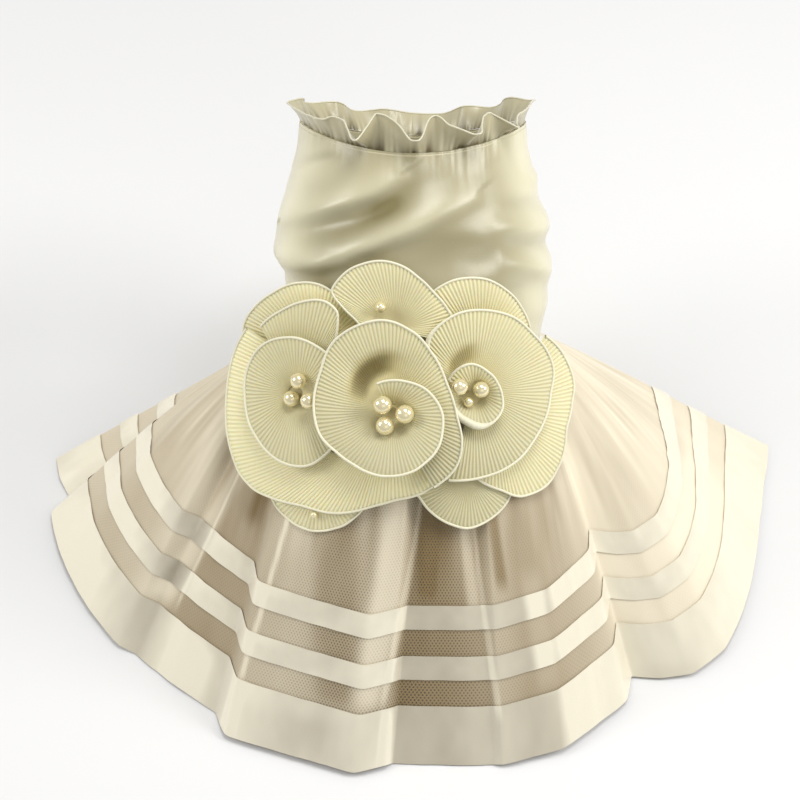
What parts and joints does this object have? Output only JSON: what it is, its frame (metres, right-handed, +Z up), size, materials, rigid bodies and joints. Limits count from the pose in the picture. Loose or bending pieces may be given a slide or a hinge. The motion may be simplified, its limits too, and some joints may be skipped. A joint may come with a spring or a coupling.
{
  "type": "dog dress",
  "caption": "small ivory dog dress: satin bodice with neck frill, pearl-centred organza flower cluster over a box-pleated net skirt with satin ribbon bands, shown in worn form",
  "frame": {"origin": "centre of the waist ring, on the axis of the wearer's body", "axes": "+Z up, +X to the wearer's right seen from behind, the neck points to +Y and +Z, 50 degrees above level, and the hem lies level below"},
  "size_m": [0.3226, 0.2563, 0.1914],
  "materials": {
    "bodice_satin": "ivory satin with a soft sheen",
    "skirt_tulle": "fine beige net",
    "ribbon_satin": "glossy ivory satin ribbon",
    "flower_organza": "fine-pleated ivory organza with a corded rim",
    "pearl": "glossy cream pearl",
    "closure": "plain woven hook strip"
  },
  "bodies": {
    "root": {"bodice": "bodice_satin", "neck_ruffle": "bodice_satin", "skirt_tulle": "skirt_tulle", "ribbon_upper": "ribbon_satin", "ribbon_lower": "ribbon_satin", "ribbon_hem": "ribbon_satin", "flower_centre": "flower_organza", "flower_left": "flower_organza", "flower_right": "flower_organza", "petal_ring": "flower_organza", "petal_top": "flower_organza", "petal_top_left": "flower_organza", "petal_top_right": "flower_organza", "petal_right": "flower_organza", "petal_bottom_left": "flower_organza", "petal_bottom_right": "flower_organza", "pearl_centre_1": "pearl", "pearl_centre_2": "pearl", "pearl_centre_3": "pearl", "pearl_left_1": "pearl", "pearl_left_2": "pearl", "pearl_left_3": "pearl", "pearl_right_1": "pearl", "pearl_right_2": "pearl", "pearl_right_small": "pearl", "bead_top": "pearl", "bead_bottom": "pearl", "belly_closure": "closure"}
  },
  "joints": []
}
